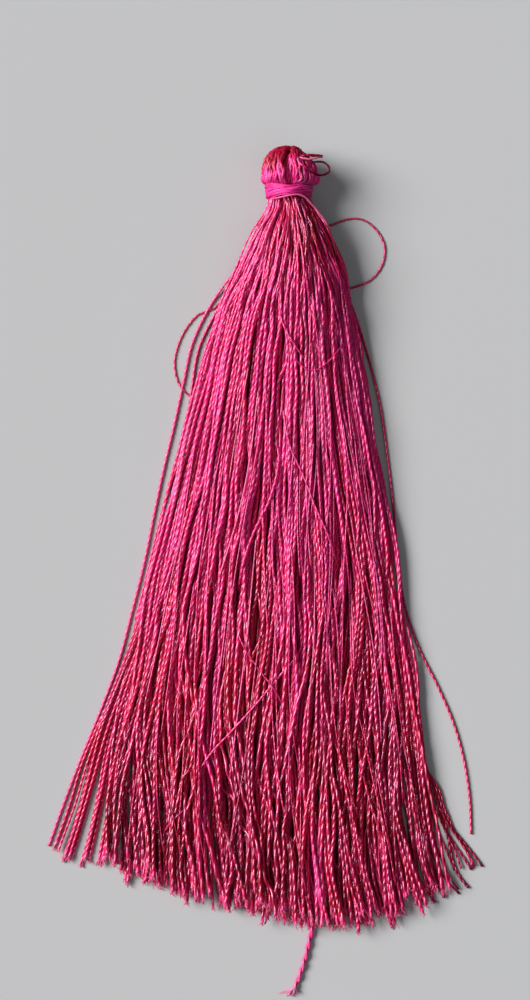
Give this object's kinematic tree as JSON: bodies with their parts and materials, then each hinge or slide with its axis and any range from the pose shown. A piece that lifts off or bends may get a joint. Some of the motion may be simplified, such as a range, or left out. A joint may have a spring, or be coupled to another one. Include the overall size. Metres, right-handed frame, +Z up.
{
  "type": "thread tassel",
  "caption": "Thread tassel lying flat: a hank of two-ply thread folded into a round head, bound at the neck, fanning out to a cut skirt, with a small thread loop at the top.",
  "frame": {"origin": "on the table, under the middle of the tassel's bounding box", "axes": "+Y from the cut ends towards the head, +Z up off the table, +X to the right seen from above"},
  "size_m": [0.0498, 0.0992, 0.0067],
  "materials": {
    "tassel_thread": "silky two-ply thread, magenta",
    "binding_floss": "glossy untwisted floss, hot pink"
  },
  "bodies": {
    "root": {"thread_bundle": "tassel_thread", "neck_binding": "binding_floss", "hanging_loop": "tassel_thread"}
  },
  "joints": []
}
